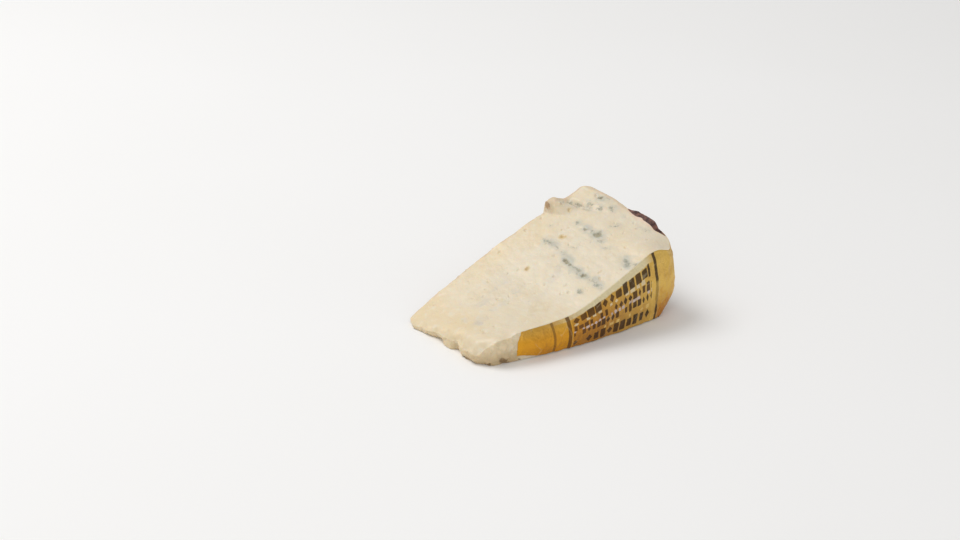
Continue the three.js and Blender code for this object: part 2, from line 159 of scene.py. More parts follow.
def cut_height(x, y):
    """Height of the upper cut: its thickness and crossed sine swells, less a groove at the crack and a worn
    edge by the tip, and on them what stands proud: the far corner with its peak and ridge, the torn flake,
    and the rind's lip."""
    swells = sum(
        height * np.sin(x / along + y / across + shift) * np.cos(y / across - shift)
        for height, along, across, shift in CUT_SWELLS
    )
    away, behind = from_crack(x, y)
    groove = 1.1 * bump(away, 0, 1.8) * smooth(56, 74, y) * smooth(122, 131, x)
    corner = 1.2 * smooth(0, 4, behind) * smooth(110, 122, x) * smooth(45, 62, y)
    peak = PEAK[0] * bump(np.hypot(x - FAR_CORNER[0], y - FAR_CORNER[1]), 0, PEAK[1])
    ridge = 1.6 * bump(y, 64, 14) * smooth(132, 154, x)
    torn_along = x - 0.3 * (84 - y) + 0.2 * np.sin(y / 1.1)
    flake = FLAKE_HEIGHT * share(FLAKE, torn_along) * smooth(70, 85, y)
    lip = share(LIP, y) * smooth(148, LENGTH, x + 3.2)
    bare_edge = 1.8 * bump(y - near_line(x), 0, 3.5) * (1 - smooth(13, 22, x))
    proud = corner + peak + ridge + flake + lip
    return thickness(x, y) + swells * smooth(0, 14, x) - groove + proud - bare_edge


def rounded_plan(a, b, inset):
    """Shares a and b of the plan's rectangle, with each corner's square drawn in to its quarter disc."""
    x = lerp(inset, LENGTH - inset, a)
    y = lerp(inset, WHEEL_HEIGHT - inset, b)
    for at_wall, at_far, radius in CORNERS:
        centre_x = LENGTH - radius if at_wall else radius
        centre_y = WHEEL_HEIGHT - radius if at_far else radius
        dx = x - centre_x
        dy = y - centre_y
        inside = ((dx > 0) == at_wall) & ((dy > 0) == at_far) & (dx != 0) & (dy != 0)
        squash = np.maximum(abs(dx), abs(dy)) / np.maximum(np.hypot(dx, dy), 1e-9)
        squash = np.where(inside, squash, 1.0)
        x = centre_x + dx * squash
        y = centre_y + dy * squash
    return x, y


def wedge_point(a, b, inset, level, z):
    """Place of the wedge's side at height z: between the plan's lines, with a belly on the near side. On the
    wall come the wheel's arc, a tuck at the foot, which is a power of the height, and the lip at the top."""
    plan_x, plan_y = rounded_plan(a, b, inset)
    u = plan_x / LENGTH
    v = plan_y / WHEEL_HEIGHT
    flake = share(FLAKE, plan_x + 0.6 * np.sin(z / 1.4)) * smooth(81, 86, plan_y) * level**2
    belly = BELLY * np.sin(np.pi * level) * (1 - smooth(0, 0.16, v)) * smooth(0, 0.25, u)
    y = lerp(near_line(plan_x), far_line(plan_x), v) + flake - belly
    arc = (z - WALL_WIDEST) ** 2 / (2 * WHEEL_RADIUS)
    tuck = lerp(*TUCK, v) * (1 - np.clip(z / TUCK_HEIGHT, 0, 1)) ** 1.3
    lip = LIP_REACH * share(LIP, y) * level**3
    wall = LENGTH - WALL_BOW * (2 * v - 1) ** 2
    tip = tip_line(plan_y, 1 - 0.75 * smooth(0.1, 0.75, level))
    x = lerp(tip, wall, u) + (lip - arc - tuck) * smooth(0.84, 1, u)
    return np.stack([x, y, np.broadcast_to(z, x.shape)], axis=-1)


def cut_point(a, b):
    """A point of the upper cut. The wall leans, so the height is found first where it stands out most."""
    widest = wedge_point(a, b, CUT_EDGE, 1.0, WALL_WIDEST)
    p = wedge_point(a, b, CUT_EDGE, 1.0, cut_height(widest[..., 0], widest[..., 1]))
    p[..., 2] = cut_height(p[..., 0], p[..., 1])
    return p


CELL_STEPS = (1.0, 57.0, 113.0)  # they turn a cell's place into a number of its own


def draw(n, seed):
    """A repeatable number from 0 to 1 for each whole number n: the fraction of a large sine."""
    v = np.sin(n * 12.9898 + seed * 78.233) * 43758.5453
    return v - np.floor(v)


def noise(p, size, seed):
    """Noise from -1 to 1: a draw at each corner of cells of this size, blended smoothly across each cell."""
    q = p / np.asarray(size, float)
    cell = np.floor(q)
    t = smooth(0, 1, q - cell)
    total = np.zeros(len(p))
    for corner in np.ndindex(2, 2, 2):
        weight = np.prod(np.where(corner, t, 1 - t), axis=1)
        total += weight * draw((cell + corner) @ CELL_STEPS, seed)
    return 2 * total - 1


def grains(p, size, seed):
    """Distance to the nearest of points scattered one to a cell, as a share of the cell: 0 amid a grain."""
    q = p / size
    cell = np.floor(q)
    nearest = np.full(len(p), np.inf)
    for corner in np.ndindex(3, 3, 3):
        c = cell + corner - 1
        n = c @ CELL_STEPS
        seedling = c + np.stack([draw(n, seed), draw(n, seed + 1), draw(n, seed + 2)], axis=1)
        nearest = np.minimum(nearest, np.linalg.norm(q - seedling, axis=1))
    return nearest


# The mesh: a grid over the upper cut, rings round its edge and down the sides, and the foot.
ALONG = 270
ACROSS = 148
EDGE_ROWS = 4
WALL_ROWS = 54
FOOT_SHARES = (0.8, 0.4)


def rim():
    """The loop of the plan's rim, counter-clockwise seen from above, as grid steps along and across."""
    onwards, backwards = np.arange(ALONG), np.arange(ALONG, 0, -1)
    away, towards = np.arange(ACROSS), np.arange(ACROSS, 0, -1)
    i = np.concatenate([onwards, np.full(ACROSS, ALONG), backwards, np.zeros(ACROSS, int)])
    j = np.concatenate([np.zeros(ALONG, int), away, np.full(ALONG, ACROSS), towards])
    return i, j


def grid_faces(index):
    """Two triangles for each square of a grid of point numbers, counter-clockwise where columns run to the
    right and rows upwards."""
    corners = (index[:-1, :-1], index[:-1, 1:], index[1:, 1:], index[1:, :-1])
    first, second, third, fourth = (corner.ravel() for corner in corners)
    lower = np.stack([first, second, third], axis=1)
    upper = np.stack([first, third, fourth], axis=1)
    return np.concatenate([lower, upper])


def ring_faces(above, below):
    """Two triangles for each step between two rings of the same length."""
    above_next = np.roll(above, -1)
    below_next = np.roll(below, -1)
    first = np.stack([above, below, below_next], axis=1)
    second = np.stack([above, below_next, above_next], axis=1)
    return np.concatenate([first, second])


def side_rings(top):
    """The rings below a rim of these heights: a quarter circle round the edge, even steps down the side, and
    one in under the foot. For each: its inset, level up the side, heights, and share of the cut."""
    thin = np.minimum(1, 0.4 * top / CUT_EDGE)
    foot = np.minimum(FOOT_EDGE, 0.3 * top)
    rings = []
    for row in range(1, EDGE_ROWS + 1):
        turn = row / EDGE_ROWS * math.pi / 2
        z = top - CUT_EDGE * (1 - math.cos(turn)) * thin
        rings.append((CUT_EDGE * (1 - math.sin(turn)), 1.0, z, math.cos(turn) ** 2))
    for row in range(1, WALL_ROWS + 1):
        level = 1 - row / WALL_ROWS
        rings.append((0.0, level, lerp(foot, top - CUT_EDGE * thin, level), 0.0))
    rings.append((FOOT_EDGE, 0.0, np.zeros(len(top)), 0.0))
    return rings


def wedge_mesh():
    """The wedge's points and triangles, and for each point its shares of cut and side, and its plan."""
    a, b = np.meshgrid(np.linspace(0, 1, ALONG + 1), np.linspace(0, 1, ACROSS + 1))
    index = np.arange(a.size).reshape(a.shape)
    faces = [grid_faces(index)]
    points = [cut_point(a, b).reshape(-1, 3)]
    plan = [np.stack(rounded_plan(a, b, CUT_EDGE), axis=-1).reshape(-1, 2)]
    on_cut = [np.ones(a.size)]
    on_side = [np.zeros(a.size)]

    i, j = rim()
    a, b = i / ALONG, j / ACROSS
    steps = len(i)
    above = index[j, i]
    count = index.size
    for inset, level, z, cut_share in side_rings(cut_point(a, b)[:, 2]):
        points.append(wedge_point(a, b, inset, level, z))
        plan.append(np.stack(rounded_plan(a, b, inset), axis=-1))
        on_cut.append(np.full(steps, cut_share))
        on_side.append(np.full(steps, 1 - cut_share))
        below = count + np.arange(steps)
        faces.append(ring_faces(above, below))
        above = below
        count += steps
    foot_rim = points[-1]
    centre = foot_rim.mean(axis=0)
    for part in FOOT_SHARES:
        points.append(lerp(centre, foot_rim, part))
        below = count + np.arange(steps)
        faces.append(ring_faces(above, below))
        above = below
        count += steps
    points.append(centre[None])
    faces.append(np.stack([above, np.full(steps, count), np.roll(above, -1)], axis=1))
    under = len(FOOT_SHARES) * steps + 1
    on_cut.append(np.zeros(under))
    on_side.append(np.zeros(under))
    plan.append(np.zeros((under, 2)))
    return [np.concatenate(parts) for parts in (points, faces, on_cut, on_side, plan)]


def normals_of(points, faces):
    """Unit normals of the points: the sum of the faces round each, by area."""
    p, q, r = (points[faces[:, n]] for n in range(3))
    across = np.cross(q - p, r - p)
    total = np.zeros_like(points)
    for corner in range(3):
        for axis in range(3):
            total[:, axis] += np.bincount(faces[:, corner], across[:, axis], len(points))
    return total / np.maximum(np.linalg.norm(total, axis=1, keepdims=True), 1e-12)


points, faces, on_cut, on_side, plan = wedge_mesh()
x, y, z = points.T

# Shares of the surface: the four sides, by the way they face, the broken paste that neither rind nor foil
# covers, the stretch behind the foil, the strip of every face that the foil touches, and the rind.
normals = normals_of(points, faces)
sideways = normals[:, :2] / np.maximum(np.linalg.norm(normals[:, :2], axis=1, keepdims=True), 1e-6)
wall = on_side * np.clip(sideways[:, 0], 0, 1) ** 2
far = on_side * np.clip(sideways[:, 1], 0, 1) ** 2
near = on_side * np.clip(-sideways[:, 1], 0, 1) ** 2
tip = on_side * np.clip(-sideways[:, 0], 0, 1) ** 2
bare_paste = tip + near * (1 - smooth(19.0, 23.0, x))
labelled = on_side * smooth(21.0, 24.0, x) * (1 - smooth(12.0, 15.0, y)) * smooth(0.3, 1.2, z)
from_foil = np.minimum(plan[:, 1], LENGTH - plan[:, 0])
covered = smooth(18.0, 20.5, x) * (1 - smooth(15.5, 18.0, y)) * (1 - smooth(0.7, 3.5, from_foil))
on_rind = np.clip(wall + far, 0, 1) * (1 - labelled)


def warp():
    """The points pushed about by coarse and fine noise, so that what is drawn there has uneven outlines."""
    coarse = [1.3 * noise(points, 3.4, seed) for seed in (1, 3, 5)]
    fine = [0.5 * noise(points, 1.3, seed) for seed in (2, 4, 6)]
    return points + np.stack(coarse, axis=1) + np.stack(fine, axis=1)


warped = warp()
warp_x, warp_y, warp_z = warped.T
random = np.random.default_rng(5)

# Mould in the upper cut, along the rows of pricked channels and beside them: x, y, half width along x, half
# length along y, and how strong it is. The strongest are open pockets.
MOULD = (
    (95.4, 61.0, 2.8, 4.5, 0.62),
    (95.0, 51.0, 2.0, 6.0, 0.42),
    (93.0, 43.0, 2.0, 4.0, 0.5),
    (90.8, 36.2, 1.9, 2.8, 1.0),
    (90.2, 30.8, 1.8, 2.4, 0.85),
    (89.5, 24.0, 1.6, 5.0, 0.66),
    (88.2, 15.5, 2.1, 2.8, 1.0),
    (88.6, 9.0, 1.8, 3.6, 0.62),
    (88.6, 3.0, 2.0, 4.0, 0.55),
    (87.3, -3.4, 2.0, 3.0, 0.48),
    (78.4, 7.0, 2.4, 2.6, 0.6),
    (83.0, 36.5, 1.5, 1.7, 0.6),
    (119.5, 59.2, 1.6, 2.0, 0.72),
    (118.9, 50.3, 1.7, 1.9, 0.92),
    (119.2, 45.0, 1.5, 3.8, 0.6),
    (119.6, 39.0, 2.7, 3.0, 1.0),
    (116.5, 33.0, 1.8, 3.4, 0.5),
    (114.0, 24.0, 2.0, 2.6, 0.45),
    (113.6, 4.2, 2.2, 3.2, 0.66),
    (112.0, 0.4, 2.6, 3.0, 0.78),
    (114.0, -4.0, 2.0, 2.4, 0.55),
    (133.0, 37.0, 1.7, 2.6, 0.7),
    (130.8, 39.3, 1.5, 2.0, 0.6),
    (144.6, 66.4, 2.2, 2.3, 1.0),
    (142.4, 53.8, 1.9, 2.6, 0.62),
    (146.0, 61.5, 1.6, 3.0, 0.45),
    (143.6, 21.0, 1.6, 2.4, 0.5),
    (125.5, 80.6, 2.6, 1.0, 0.55),
    (129.5, 79.6, 2.2, 1.2, 0.62),
    (131.5, 75.0, 1.5, 4.0, 0.66),
    (136.0, 67.0, 2.2, 3.2, 0.62),
    (137.4, 59.5, 1.8, 3.0, 0.58),
    (107.0, 72.6, 1.8, 2.0, 0.42),
    (102.5, 42.6, 1.6, 1.9, 0.45),
    (49.0, 64.0, 1.8, 3.4, 0.26),
    (36.0, 56.0, 1.8, 3.2, 0.26),
    (30.0, 36.0, 1.8, 3.2, 0.26),
    (29.0, 61.0, 1.6, 2.8, 0.24),
    (50.5, 37.5, 2.6, 2.4, 0.28),
)
HALO = 3.0  # how far the haze reaches past the mould
HALO_STRENGTH = 0.7
OPEN_POCKET = 0.8  # mould stronger than this lines an open pocket
POCKET_DEPTH = 1.1
# The rows themselves: x at the labelled side, lean, where along y each begins and ends, and how hazy it is.
ROW_WIDTH = 3.4
ROW_WANDER = 2.2
ROWS = (
    (88.0, 0.12, (-8.0, 0.0, 54.0, 70.0), 0.55),
    (113.6, 0.1, (-8.0, -2.0, 46.0, 66.0), 0.42),
    (143.0, 0.03, (8.0, 40.0, 66.0, 78.0), 0.3),
)
# Broad faint smears: x, y, half lengths, and how strong.
SMEARS = (
    (15.5, 30.0, 3.0, 9.0, 0.6),
    (22.0, 34.0, 16.0, 9.0, 0.45),
    (42.0, 48.0, 22.0, 15.0, 0.5),
    (74.0, 30.0, 16.0, 14.0, 0.35),
    (128.0, 74.0, 9.0, 8.0, 0.5),
)
# Round eyes: x, y, radius, and how yellow.
EYES = (
    (104.6, 57.6, 1.7, 0.95),
    (123.5, 73.6, 1.3, 0.65),
    (71.8, 51.6, 1.8, 0.8),
    (109.0, 62.5, 0.9, 0.4),
    (122.0, 15.0, 1.0, 0.3),
    (97.0, 11.0, 0.9, 0.3),
    (48.0, 63.0, 0.8, 0.3),
    (60.0, 30.0, 0.8, 0.25),
    (36.0, 40.0, 0.8, 0.25),
)
PORES = 130
PORE_RADIUS = (0.5, 1.1)  # before it is squared, which makes most pores small


def mould_marks():
    """How mouldy the cut is, how hazy round that, and how deep its pockets are. Each patch is a bell over an
    oval, in a wider bell of haze, and each row a hazy band that wanders with noise."""
    mould = np.zeros(len(points))
    haze = np.zeros(len(points))
    pockets = np.zeros(len(points))
    for at_x, at_y, wide, long, strength in MOULD:
        reach = ((warp_x - at_x) / wide) ** 2 + ((warp_y - at_y) / long) ** 2
        halo = ((warp_x - at_x) / (wide + HALO)) ** 2 + ((warp_y - at_y) / (long + HALO)) ** 2
        mould = np.maximum(mould, strength * np.exp(-reach))
        haze = np.maximum(haze, HALO_STRENGTH * strength * np.exp(-halo))
        if strength > OPEN_POCKET:
            pockets = np.maximum(pockets, POCKET_DEPTH * strength * (1 - smooth(0.1, 0.55, reach)))
    patchy = 0.6 + 0.7 * noise(points, (4.0, 7.0, 7.0), 6)
    for at_x, lean, stretch, strength in ROWS:
        middle = at_x + lean * y + ROW_WANDER * noise(points, (40.0, 9.0, 40.0), 5)
        haze += strength * bump(x, middle, ROW_WIDTH) * share(stretch, y) * patchy
    return mould, haze, pockets


def smear_marks():
    """How smeared the cut is: the sum of a bell over each oval, broken up by noise."""
    smeared = np.zeros(len(points))
    for at_x, at_y, wide, long, strength in SMEARS:
        smeared += strength * np.exp(-(((x - at_x) / wide) ** 2) - ((y - at_y) / long) ** 2)
    return smeared * smooth(-0.4, 0.5, noise(points, (11.0, 6.0, 11.0), 7))


def eye_marks():
    """How yellow the eyes are, and how deep: discs with soft edges, the hollow narrower than the colour."""
    yellow = np.zeros(len(points))
    hollows = np.zeros(len(points))
    for at_x, at_y, radius, strength in EYES:
        reach = np.hypot(warp_x - at_x, warp_y - at_y) / radius
        yellow = np.maximum(yellow, strength * (1 - smooth(0.6, 1.9, reach)))
        hollows = np.maximum(hollows, 0.45 * radius * (1 - smooth(0.2, 0.9, reach)))
    return yellow, hollows


def pore_hollows():
    """How deep the pores are: small ovals with soft edges, scattered at random over the cut."""
    hollows = np.zeros(len(points))
    for _ in range(PORES):
        at_x = random.uniform(8, LENGTH - 5)
        at_y = random.uniform(-2, WHEEL_HEIGHT - 3)
        radius = random.uniform(*PORE_RADIUS) ** 2
        squash = random.uniform(0.6, 1.6)
        close = (abs(x - at_x) < 3) & (abs(y - at_y) < 3)
        reach = np.hypot((warp_x[close] - at_x) / squash, warp_y[close] - at_y) / radius
        hollows[close] = np.maximum(hollows[close], 0.6 * radius * (1 - smooth(0.3, 1.1, reach)))
    return hollows


mould, haze, pockets = mould_marks()
eyes, eye_hollows = eye_marks()
pits = np.maximum(np.maximum(pockets, eye_hollows), pore_hollows())
from_crack_line, _ = from_crack(warp_x, warp_y)
crack = bump(from_crack_line, 0, 1.5) * smooth(54, 72, y) * smooth(123, 132, x) * on_cut

# Where paste has torn instead of being cut: the flake, the tip's brink, and patches of the upper cut.
torn_flake = share(FLAKE, x) * smooth(74.0, 81.0, y)
torn_brink = 1 - smooth(1.0, 6.0, x - tip_line(y))
torn_patches = 0.45 * smooth(0.25, 0.6, noise(points, (11.0, 14.0, 30.0), 15))
torn = np.maximum(np.maximum(torn_patches, torn_brink), torn_flake)
crumbly = np.clip(bare_paste + on_cut * torn, 0, 1)

NEEDLE_ROWS = (47.0, 72.0, 97.0, 122.0, 147.0)  # along x, where the bare end was pricked
NEEDLE_HEIGHTS = (9.0, 24.0, 39.0, 54.0)
NEEDLE_STRAY = 1.5
NEEDLE_RADIUS = (0.5, 1.3)
FLAKE_FOOT = 45.0  # above it, the flake has no holes
STAIN_AND_SHADOW_SPOTS = (
    (11.5, -2.3, 2.2, 2.6, 1.0),
    (2.8, 1.8, 0.2, 2.2, 0.9),
    (22.3, -3.4, 1.4, 1.5, 0.8),
)  # brown spots, stain and painted shadow, low on the bare paste: x, y, z, radius, how dark


def cut_relief():
    """The upper cut's fine form: the wire's drag marks and lumps of three sizes, less pits and crack."""
    drag = 0.05 * noise(points, (1.7, 16.0, 9.0), 10) + 0.03 * noise(points, (0.9, 9.0, 9.0), 11)
    lumps = 0.3 * noise(points, 9.0, 12) + 0.16 * noise(points, 3.6, 13) + 0.06 * noise(points, 1.4, 14)
    return drag + lumps - pits - 0.25 * crack


def curd_relief():
    """Broken curd: rounded lumps of two sizes that meet in creases, and a little noise."""
    large = 1 - grains(points, 6.0, 20)
    small = 1 - grains(points, 2.3, 30)
    return 1.5 * (large - 0.5) + 0.7 * (small - 0.5) + 0.14 * noise(points, 0.9, 35)


def rind_relief():
    """The rind's lumps of three sizes, less wrinkles, which run where noise is near 0, and round pits."""
    lumps = 0.25 * noise(warped, 8.5, 40) + 0.42 * noise(warped, 3.1, 41) + 0.26 * noise(points, 1.7, 43)
    wrinkles = (1 - abs(noise(warped, (5.0, 5.0, 3.4), 42))) ** 6
    return lumps - 0.45 * wrinkles - 0.5 * smooth(0.6, 1.0, 1 - grains(points, 3.6, 50))


def needle_holes():
    """Where needles pricked the bare end: a soft-edged disc near each crossing of the rows and heights."""
    pricked = np.zeros(len(points))
    for row_x in NEEDLE_ROWS:
        for row_z in NEEDLE_HEIGHTS:
            hole_x = row_x + random.uniform(-NEEDLE_STRAY, NEEDLE_STRAY)
            hole_z = row_z + random.uniform(-NEEDLE_STRAY, NEEDLE_STRAY)
            radius = random.uniform(*NEEDLE_RADIUS)
            on_flake = FLAKE[0] < row_x < FLAKE[3] and row_z > FLAKE_FOOT
            if not on_flake:
                reach = np.hypot(warp_x - hole_x, warp_z - hole_z) / radius
                pricked = np.maximum(pricked, far * (1 - smooth(0.5, 1.3, reach)))
    return pricked


def stain_and_shadow_marks():
    """Brown stains and painted shadow: patches of noise along the foot of the bare paste, and a few
    soft-edged spots.
    """
    foot = 1 - smooth(0.8, 4.5, z + 1.5 * noise(points, 3.0, 63))
    patches = smooth(-0.1, 0.5, noise(points, (6.5, 6.5, 9.0), 65)) * (1 - 0.7 * smooth(24, 40, y))
    stained_and_shadowed = 0.75 * bare_paste * foot * patches
    ragged = 0.5 * noise(points, 1.6, 66)
    for *centre, radius, strength in STAIN_AND_SHADOW_SPOTS:
        reach = np.linalg.norm((points - centre) / (1.4, 1.4, 1.0), axis=1) / radius + ragged
        stained_and_shadowed = np.maximum(stained_and_shadowed, on_side * strength * (1 - smooth(0.4, 1.3, reach)))
    return stained_and_shadowed


# The relief moves each point out along its normal, the undercut moves the foot of the bare paste in, and the
# underside stays flat.
curd = curd_relief()
rind_height = rind_relief()
pricked = needle_holes()
stain_and_shadow = stain_and_shadow_marks()
relief = on_cut * cut_relief()
relief += crumbly * curd * np.clip(0.35 + 0.65 * on_side + 0.2 * torn_flake, 0, 1)
relief += on_rind * rind_height - 1.5 * pricked - 0.8 * stain_and_shadow
relief *= np.where(on_side > 0, smooth(0.0, 1.6, z), 1) * (1 - 0.96 * covered)
hollow_stretches = smooth(-0.4, 0.3, noise(points, (6.0, 6.0, 40.0), 60))
undercut = 2.1 * (1 - smooth(0.0, 4.0, z)) * bare_paste * hollow_stretches
shape = points + normals * relief[:, None]
shape[:, :2] -= sideways * undercut[:, None]
shape[:, 2] = np.maximum(shape[:, 2], 0) * (z > 0)

# The plain form's middle lies on the node's, and nothing stands past the node's box.
lowest, highest = (np.array(corner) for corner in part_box("cheese"))
shift = (lowest + highest - (points.min(axis=0) + points.max(axis=0)) * MM) / 2
shape = np.clip(shape * MM + shift, lowest, highest)

# The rind's colours by place: a thick dark band at the lip, on the cut and on the wall below it, a shaded
# stretch of wall, a pale skin along the far edge, and on the flake's torn side rind colour as painted shade.
thick_rind = share((4.0, 23.0, 37.0, 50.0), y)
to_wall = LENGTH - plan[:, 0] + 0.9 * noise(points, 4.0, 61)
dark_band = (5.0 * thick_rind - to_wall) * smooth(0.0, 0.2, thick_rind)
below_cut = cut_height(x, y) - z + 1.5 * noise(points, 4.0, 62)
high_on_wall = 1 - smooth(0.0, 1.0, below_cut / (0.3 + 7.0 * thick_rind))
dark_wall = wall * high_on_wall * smooth(0.05, 0.4, thick_rind)
shaded_heights = smooth(20.0, 54.0, z + 10 * noise(points, 11.0, 62))
shaded_wall = wall * bump(warp_y, 36.0, 22.0) * shaded_heights * (1 - labelled)
by_far_edge = smooth(80.0, 84.5, warp_y + 1.2 * noise(points, 2.0, 67))
behind_flake = share((110.0, 117.0, 126.0, 136.0), warp_x) * by_far_edge
far_edge = bump(far_line(x) - warp_y, 0, 1.3) + 0.7 * behind_flake
# Painted shade: rind colour on the flake's torn side.
flake_side_shade = bump(x, 114.7, 0.9) * smooth(79.0, 83.0, y) * smooth(51.0, 54.5, z)
# Yellower paste towards the far edge and the tip, and painted shade low on the bare paste, darker to its
# foot.
warm = 0.6 * smooth(58, 88, y) + (1.0 - smooth(6, 34, x)) * (0.5 + 0.5 * smooth(8, 40, y))
low = bare_paste * (1 - smooth(1.0, 13.0, z + 1.5 * noise(points, 5.0, 64))) * (1 - 0.75 * smooth(12, 24, y))

fields = {
    "mould": on_cut * mould,
    "haze": on_cut * np.clip(haze, 0, 1),
    "smear": on_cut * np.clip(smear_marks(), 0, 1),
    "eye": on_cut * eyes,
    "rind": np.clip(on_rind + 0.9 * on_cut * flake_side_shade, 0, 1),
    "rind_edge": on_cut * np.clip(bump(to_wall, 0, 3.4) * smooth(14, 24, y) + far_edge, 0, 1),
    "pink_edge": on_cut * smooth(-3.2, -0.4, dark_band) * share((11.0, 21.0, 40.0, 52.0), y),
    "dark_rind": on_cut * smooth(-0.2, 1.0, dark_band) + dark_wall,
    "shaded_rind": shaded_wall,
    "rind_crest": 0.5 + 0.7 * rind_height,
    # Painted shade in the creases between crumbs, lighter on the far part of the tip.
    "crumbly": crumbly * smooth(0.5, -0.5, curd) * (1 - 0.4 * tip * smooth(12, 24, y)),
    # On the bare paste this yellow is partly painted warm shade.
    "warm": np.clip(on_cut * warm + 1.2 * bare_paste, 0, 1),
    # Painted shade low on the bare paste, darker towards the foot.
    "low": low,
    "stain_and_shadow": stain_and_shadow,
    "pricked": pricked,
    "crack": crack,
    "hollow": on_cut * np.clip(pits, 0, 1),
}


def mesh_piece(name, points, faces, fields):
    """A smooth-shaded mesh object from points, triangles and named numbers at the points."""
    mesh = bpy.data.meshes.new(name)
    mesh.vertices.add(len(points))
    mesh.vertices.foreach_set("co", points.astype(np.float32).ravel())
    mesh.loops.add(faces.size)
    mesh.loops.foreach_set("vertex_index", faces.astype(np.int32).ravel())
    mesh.polygons.add(len(faces))
    mesh.polygons.foreach_set("loop_start", np.arange(0, faces.size, 3, dtype=np.int32))
    mesh.polygons.foreach_set("use_smooth", np.ones(len(faces), bool))
    for field, values in fields.items():
        mesh.attributes.new(field, "FLOAT", "POINT").data.foreach_set("value", values.astype(np.float32))
    mesh.update(calc_edges=True)
    mesh.validate()
    piece = bpy.data.objects.new(name, mesh)
    bpy.context.scene.collection.objects.link(piece)
    return piece


cheese = mesh_piece("cheese_wedge", shape, faces, fields)


class Socket:
    """An output in a material's nodes. Arithmetic on it adds Math nodes, and node() adds any other node."""

    def __init__(self, tree, output):
        self.tree = tree
        self.output = output

    def node(self, kind, settings, inputs, output=0):
        """Adds a node of this kind: its settings are set first, then the values or links of its inputs."""
        made = self.tree.nodes.new(kind)
        for name, value in settings.items():
            setattr(made, name, value)
        for name, value in inputs.items():
            if isinstance(value, Socket):
                self.tree.links.new(value.output, made.inputs[name])
            else:
                made.inputs[name].default_value = value
        return Socket(self.tree, made.outputs[output])

    def math(self, operation, *others):
        """This value and the others through a Math node."""
        return self.node("ShaderNodeMath", {"operation": operation}, dict(enumerate((self, *others))))

    def __add__(self, other):
        return self.math("ADD", other)

    def __sub__(self, other):
        return self.math("SUBTRACT", other)

    def __mul__(self, other):
        return self.math("MULTIPLY", other)

    def __rsub__(self, other):
        return self.node("ShaderNodeMath", {"operation": "SUBTRACT"}, {0: other, 1: self})

    __radd__ = __add__
    __rmul__ = __mul__

    def step(self, low, high):
        """Rises smoothly from 0 where this value is low to 1 where it is high."""
        settings = {"interpolation_type": "SMOOTHSTEP"}
        return self.node("ShaderNodeMapRange", settings, {"Value": self, "From Min": low, "From Max": high})

    def mix(self, first, second):
        """Colour that turns from the first to the second as this value goes from 0 to 1."""
        inputs = {0: self, 6: first, 7: second}
        return self.node("ShaderNodeMix", {"data_type": "RGBA"}, inputs, output=2)

    def noise(self, size, detail=2.0):
        """Noise round 0.5 at these coordinates, with features about this many millimetres across."""
        scale = (1 / (size * MM),) * 3
        spread = self.node("ShaderNodeMapping", {"vector_type": "POINT"}, {"Vector": self, "Scale": scale})
        settings = {"noise_dimensions": "3D"}
        return self.node("ShaderNodeTexNoise", settings, {"Vector": spread, "Scale": 1.0, "Detail": detail})

    def field(self, name):
        """A named number of the mesh's points."""
        return self.node("ShaderNodeAttribute", {"attribute_name": name}, {}, output="Fac")


def srgb(red, green, blue):
    """A colour given as it looks on a screen, 0 to 255, as the linear colour that a shader takes."""
    parts = np.array([red, green, blue]) / 255
    linear = np.where(parts <= 0.04045, parts / 12.92, ((parts + 0.055) / 1.055) ** 2.4)
    return (*linear.tolist(), 1.0)


def new_material(name, constants):
    """Makes a material whose Principled shader has these constants: its coordinates, its shader, itself."""
    material = bpy.data.materials.new(name)
    material.use_nodes = True
    tree = material.node_tree
    shader = tree.nodes["Principled BSDF"]
    for socket, value in constants.items():
        shader.inputs[socket].default_value = value
    coordinates = tree.nodes.new("ShaderNodeTexCoord")
    return Socket(tree, coordinates.outputs["Object"]), shader, material


def connect(shader, inputs):
    """Links values that change over the surface to the shader's sockets."""
    for name, value in inputs.items():
        value.tree.links.new(value.output, shader.inputs[name])


PASTE = srgb(228, 215, 190)
PASTE_WARM = srgb(229, 211, 176)
PASTE_YELLOW = srgb(228, 206, 164)
PASTE_PALE = srgb(233, 222, 201)
HAZE = srgb(188, 187, 174)
SMEAR = srgb(206, 197, 183)
MOULD_GREY = srgb(156, 155, 137)
MOULD_DARK = srgb(124, 127, 110)
EYE = srgb(206, 177, 118)
HOLE_PAINTED_SHADE = srgb(96, 84, 68)
CRACK_GREY = srgb(160, 150, 130)
CRUMB_PAINTED_SHADE = srgb(214, 196, 162)
FOOT_PAINTED_SHADE = srgb(186, 160, 118)
STAIN_AND_SHADOW = srgb(118, 88, 52)
RIND_TAN = srgb(180, 149, 114)
RIND_PINK = srgb(164, 124, 96)
RIND_BROWN_AND_SHADE = srgb(114, 82, 60)
RIND_BLOOM = srgb(208, 195, 170)
RIND_GREY = srgb(160, 140, 116)
RIND_SHADED = srgb(104, 68, 54)
RIND_EDGE = srgb(210, 188, 160)
PINK_EDGE = srgb(224, 196, 172)
RIND_MAROON = srgb(62, 33, 28)
RIND_REDDISH = srgb(132, 90, 74)

spot, shader, paste = new_material(
    "soft_blue_paste_and_rind",
    {
        "Subsurface Weight": 0.25,
        "Subsurface Radius": (1.0, 0.62, 0.34),
        "Subsurface Scale": 0.003,
        "IOR": 1.45,
    },
)
clouds = spot.noise(26, 3.0)
blotches = spot.noise(12, 5.0) - 0.5
mottle = spot.noise(5, 4.0)
speckle = spot.noise(1.1, 2.0)
uneven = mottle - 0.5
fine = speckle - 0.5

